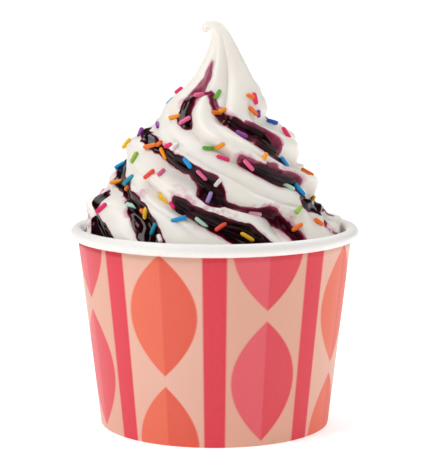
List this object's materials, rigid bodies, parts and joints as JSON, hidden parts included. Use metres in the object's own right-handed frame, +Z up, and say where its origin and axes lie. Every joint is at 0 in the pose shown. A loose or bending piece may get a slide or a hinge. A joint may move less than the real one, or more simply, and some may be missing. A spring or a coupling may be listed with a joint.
{
  "type": "frozen yogurt cup",
  "caption": "Rolled-rim paper cup filled with soft-serve frozen yogurt piped to a twisted, curled peak, with dark berry sauce in its grooves and sugar sprinkles.",
  "frame": {"origin": "middle of the ring that the cup stands on", "axes": "+Z up, -Y towards the viewer of the front, +X to that viewer's right, where the curl at the peak turns to -X"},
  "size_m": [0.1, 0.1, 0.1404],
  "materials": {
    "printed_paper": "coated paper, peach ground with coral and rose print, soft sheen",
    "white_paper": "coated white paper, soft sheen",
    "yogurt": "smooth creamy white soft serve, moist satin sheen",
    "sauce": "dark purple berry sauce, wet gloss, magenta where thin",
    "sprinkles": "mixed bright sugar sprinkles with a soft sheen"
  },
  "bodies": {
    "root": {"cup_wall": "printed_paper", "cup_base": "white_paper", "yogurt": "yogurt"}
  },
  "joints": []
}
